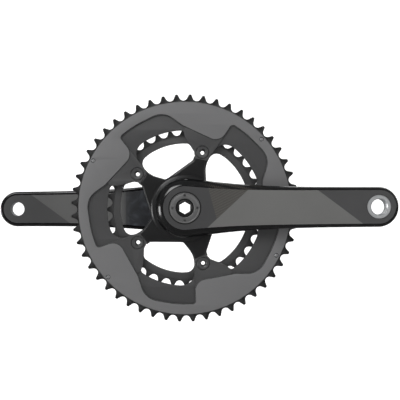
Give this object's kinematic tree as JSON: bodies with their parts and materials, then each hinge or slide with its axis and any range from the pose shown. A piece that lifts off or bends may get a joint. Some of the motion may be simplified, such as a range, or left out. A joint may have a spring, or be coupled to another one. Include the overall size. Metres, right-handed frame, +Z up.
{
  "type": "bicycle crankset",
  "caption": "Road bicycle crankset with hollow arms, a star-shaped spider, two chainrings and a tube spindle running in its bottom bracket bearings.",
  "frame": {"origin": "on the spindle axis, midway between the two bottom bracket bearings", "axes": "spindle along Y with the chainrings at -Y, right crank arm along +X, +Z up"},
  "size_m": [0.3918, 0.145, 0.2136],
  "materials": {
    "carbon_arm": "moulded carbon fibre, clear coated, satin panels",
    "insert_steel": "machined",
    "insert_silver": "turned, clear anodised",
    "spider_black": "polished, black anodised",
    "ring_grey": "bead blasted, grey anodised",
    "ring_dark": "bead blasted, dark anodised",
    "bolt_black": "black anodised",
    "pin_steel": "plain stainless steel",
    "cap_silver": "satin, clear anodised",
    "spindle_black": "hard anodised",
    "shield_plastic": "moulded nylon",
    "race_steel": "ground bearing steel",
    "ball_steel": "lapped bearing steel",
    "cage_plastic": "moulded nylon",
    "seal_rubber": "moulded nitrile rubber",
    "adjuster_plastic": "machined acetal"
  },
  "bodies": {
    "bearing_housing_side": {"drive_bearing_outer_race": "race_steel", "drive_bearing_seals": "seal_rubber", "left_bearing_outer_race": "race_steel", "left_bearing_seals": "seal_rubber"},
    "drive_ball_set": {"drive_bearing_balls": "ball_steel", "drive_bearing_cage": "cage_plastic"},
    "left_ball_set": {"left_bearing_balls": "ball_steel", "left_bearing_cage": "cage_plastic"},
    "thrust_washer": {"thrust_washer": "pin_steel"},
    "preload_adjuster": {"preload_adjuster": "adjuster_plastic", "preload_pinch_screw": "pin_steel"},
    "crankset": {"right_arm": "carbon_arm", "left_arm": "carbon_arm", "right_hub_insert": "insert_steel", "left_hub_insert": "insert_steel", "right_pedal_insert": "insert_silver", "left_pedal_insert": "insert_silver", "spider": "spider_black", "outer_chainring": "ring_grey", "inner_chainring": "ring_dark", "chainring_bolts": "bolt_black", "chainring_nuts": "bolt_black", "hidden_ring_bolt": "bolt_black", "hidden_ring_nut": "bolt_black", "chain_drop_pin": "pin_steel", "shift_pins": "pin_steel", "crank_bolt": "bolt_black", "crank_bolt_washer": "pin_steel", "extractor_cap": "cap_silver", "spindle": "spindle_black", "drive_spacer": "spindle_black", "drive_bearing_shield": "shield_plastic", "left_bearing_shield": "shield_plastic", "drive_bearing_inner_race": "race_steel", "left_bearing_inner_race": "race_steel"}
  },
  "joints": [
    {"name": "crank_spin", "type": "hinge", "parent": "bearing_housing_side", "child": "crankset", "pos_m": [0, 0, 0], "axis": [0, 1, 0], "continuous": true},
    {"name": "drive_bearing_roll", "type": "hinge", "parent": "bearing_housing_side", "child": "drive_ball_set", "pos_m": [0, -0.0305, 0], "axis": [0, 1, 0], "continuous": true},
    {"name": "left_bearing_roll", "type": "hinge", "parent": "bearing_housing_side", "child": "left_ball_set", "pos_m": [0, 0.0305, 0], "axis": [0, 1, 0], "continuous": true},
    {"name": "thrust_washer_travel", "type": "slide", "parent": "crankset", "child": "thrust_washer", "axis": [0, 1, 0], "range_m": [0, 0.002]},
    {"name": "preload_adjuster_turn", "type": "hinge", "parent": "thrust_washer", "child": "preload_adjuster", "pos_m": [0, 0.042, 0], "axis": [0, 1, 0], "range_deg": [0, 720]}
  ],
  "couplings": [
    {"joint": "drive_bearing_roll", "follows": "crank_spin", "ratio": 0.4556},
    {"joint": "left_bearing_roll", "follows": "crank_spin", "ratio": 0.4556},
    {"joint": "thrust_washer_travel", "follows": "preload_adjuster_turn", "m_per_rad": 0.00015915}
  ]
}
